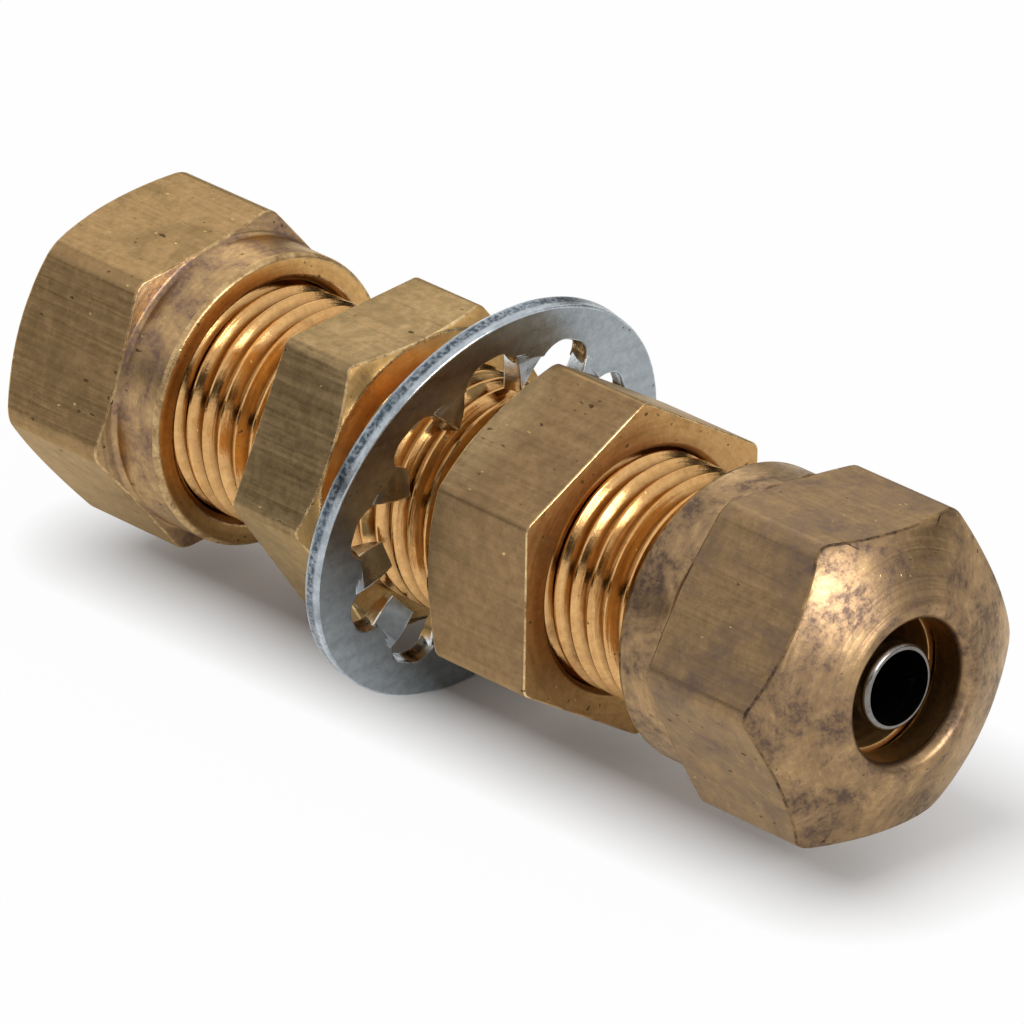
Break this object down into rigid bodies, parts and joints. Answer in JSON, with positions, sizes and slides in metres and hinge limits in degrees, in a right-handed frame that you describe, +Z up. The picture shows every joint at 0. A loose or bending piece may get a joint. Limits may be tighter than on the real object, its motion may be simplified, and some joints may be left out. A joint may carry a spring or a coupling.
{
  "type": "tank connector",
  "caption": "Brass bulkhead compression union with domed hexagon nuts, a locknut and a toothed lock washer, passing a small tube through a tank wall.",
  "frame": {"origin": "on the fitting's axis, at the panel seat of the body's hexagon", "axes": "+X along the axis towards the locknut and the nut of the long shank, +Z up as the fitting lies in the picture"},
  "size_m": [0.053, 0.0202, 0.0198],
  "materials": {
    "union_brass": "machined",
    "nut_brass": "satin, slightly tarnished",
    "sleeve_brass": "satin",
    "support_steel": "bright",
    "locknut_brass": "machined",
    "washer_steel": "zinc plated"
  },
  "bodies": {
    "union": {"union_body": "union_brass", "support_right": "support_steel", "support_left": "support_steel", "lock_washer": "washer_steel"},
    "right_sleeve": {"sleeve_right": "sleeve_brass"},
    "right_nut": {"nut_right": "nut_brass"},
    "left_sleeve": {"sleeve_left": "sleeve_brass"},
    "left_nut": {"nut_left": "nut_brass"},
    "locknut": {"locknut": "locknut_brass"}
  },
  "joints": [
    {"name": "right_sleeve_slide", "type": "slide", "parent": "union", "child": "right_sleeve", "axis": [1, 0, 0], "range_m": [-0.0008, 0.00424]},
    {"name": "right_nut_spin", "type": "hinge", "parent": "right_sleeve", "child": "right_nut", "pos_m": [0.025, 0, 0], "axis": [1, 0, 0], "range_deg": [-270, 1440]},
    {"name": "left_sleeve_slide", "type": "slide", "parent": "union", "child": "left_sleeve", "axis": [-1, 0, 0], "range_m": [-0.0008, 0.00424]},
    {"name": "left_nut_spin", "type": "hinge", "parent": "left_sleeve", "child": "left_nut", "pos_m": [-0.0166, 0, 0], "axis": [-1, 0, 0], "range_deg": [-270, 1440]},
    {"name": "locknut_slide", "type": "slide", "parent": "union", "child": "locknut", "axis": [1, 0, 0], "range_m": [-0.0012, 0.0045]}
  ],
  "couplings": [
    {"joint": "right_sleeve_slide", "follows": "right_nut_spin", "m_per_rad": 0.00016844},
    {"joint": "left_sleeve_slide", "follows": "left_nut_spin", "m_per_rad": 0.00016844}
  ]
}
